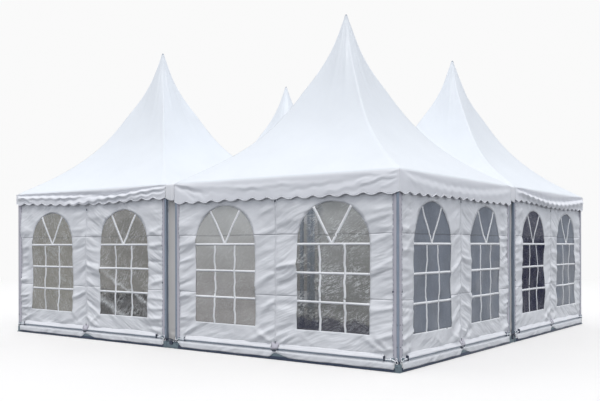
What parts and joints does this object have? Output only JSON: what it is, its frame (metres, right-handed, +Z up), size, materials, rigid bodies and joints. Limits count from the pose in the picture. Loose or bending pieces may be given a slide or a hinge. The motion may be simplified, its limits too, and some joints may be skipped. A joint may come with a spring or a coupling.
{
  "type": "linked pagoda marquee tent",
  "caption": "White party marquee of linked square pagoda modules with swept peaked roofs, scalloped valances and side walls with arched clear windows, on metal posts.",
  "frame": {"origin": "on the ground at the middle of the plan, where the four modules meet", "axes": "+Z up, -Y out of the long wall in front, +X out of the wall on the right of the picture"},
  "size_m": [8.2, 8.2, 5.457],
  "materials": {
    "post_metal": "galvanised steel tube, dull grey-blue",
    "rail_metal": "dark blue-grey rail, worn paint",
    "roof_cloth": "coated white cloth, soft sheen",
    "wall_cloth": "coated white cloth with storage creases",
    "window_film": "clear flexible film, slightly wavy and dusty"
  },
  "bodies": {
    "root": {"ground_frame_front_right": "rail_metal", "post_front_right": "post_metal", "eave_frame_front_right": "post_metal", "mast_front_right": "post_metal", "roof_front_right": "roof_cloth", "ground_frame_back_right": "rail_metal", "post_back_right": "post_metal", "eave_frame_back_right": "post_metal", "mast_back_right": "post_metal", "roof_back_right": "roof_cloth", "ground_frame_back_left": "rail_metal", "post_back_left": "post_metal", "eave_frame_back_left": "post_metal", "mast_back_left": "post_metal", "roof_back_left": "roof_cloth", "ground_frame_front_left": "rail_metal", "post_front_left": "post_metal", "eave_frame_front_left": "post_metal", "mast_front_left": "post_metal", "roof_front_left": "roof_cloth", "post_pair_front": "post_metal", "wall_front_1": "wall_cloth", "window_front_1": "window_film", "wall_front_2": "wall_cloth", "window_front_2": "window_film", "wall_front_3": "wall_cloth", "window_front_3": "window_film", "wall_front_4": "wall_cloth", "window_front_4": "window_film", "post_pair_right": "post_metal", "wall_right_1": "wall_cloth", "window_right_1": "window_film", "wall_right_2": "wall_cloth", "window_right_2": "window_film", "wall_right_3": "wall_cloth", "window_right_3": "window_film", "wall_right_4": "wall_cloth", "window_right_4": "window_film", "post_pair_back": "post_metal", "wall_back_1": "wall_cloth", "window_back_1": "window_film", "wall_back_2": "wall_cloth", "window_back_2": "window_film", "wall_back_3": "wall_cloth", "window_back_3": "window_film", "wall_back_4": "wall_cloth", "window_back_4": "window_film", "post_pair_left": "post_metal", "wall_left_1": "wall_cloth", "window_left_1": "window_film", "wall_left_2": "wall_cloth", "window_left_2": "window_film", "wall_left_3": "wall_cloth", "window_left_3": "window_film", "wall_left_4": "wall_cloth", "window_left_4": "window_film", "posts_centre": "post_metal", "gutter": "roof_cloth"}
  },
  "joints": []
}
